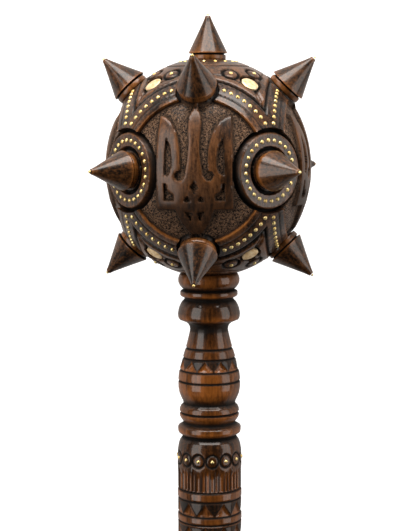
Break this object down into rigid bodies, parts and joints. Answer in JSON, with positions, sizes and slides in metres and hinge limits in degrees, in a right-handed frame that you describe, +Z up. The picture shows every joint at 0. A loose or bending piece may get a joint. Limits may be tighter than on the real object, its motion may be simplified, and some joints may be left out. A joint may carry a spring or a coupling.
{
  "type": "ceremonial mace",
  "caption": "Carved and turned wooden ceremonial mace with a spiked round head, trident medallions and brass studs, lying at rest.",
  "frame": {"origin": "on the surface it lies on, under the middle of its box", "axes": "+X along the mace towards its head, +Z up, as it lies at rest"},
  "size_m": [0.5986, 0.1252, 0.1256],
  "materials": {
    "head_wood": "dark stain under gloss varnish",
    "handle_wood": "warm brown stain under gloss varnish",
    "spike_wood": "brown stain under gloss varnish",
    "brass": "polished"
  },
  "bodies": {
    "root": {"head_ball": "head_wood", "handle": "handle_wood", "spike_top": "spike_wood", "spike_upper_1": "spike_wood", "spike_upper_2": "spike_wood", "spike_upper_3": "spike_wood", "spike_upper_4": "spike_wood", "spike_equator_1": "spike_wood", "spike_equator_2": "spike_wood", "spike_equator_3": "spike_wood", "spike_equator_4": "spike_wood", "spike_lower_1": "spike_wood", "spike_lower_2": "spike_wood", "spike_lower_3": "spike_wood", "spike_lower_4": "spike_wood", "tip_pin_top": "brass", "tip_pin_upper_1": "brass", "tip_pin_upper_2": "brass", "tip_pin_upper_3": "brass", "tip_pin_upper_4": "brass", "tip_pin_equator_1": "brass", "tip_pin_equator_2": "brass", "tip_pin_equator_3": "brass", "tip_pin_equator_4": "brass", "tip_pin_lower_1": "brass", "tip_pin_lower_2": "brass", "tip_pin_lower_3": "brass", "tip_pin_lower_4": "brass", "brass_disc_upper_1": "brass", "brass_disc_upper_2": "brass", "brass_disc_upper_3": "brass", "brass_disc_upper_4": "brass", "brass_disc_lower_1": "brass", "brass_disc_lower_2": "brass", "brass_disc_lower_3": "brass", "brass_disc_lower_4": "brass"}
  },
  "joints": []
}
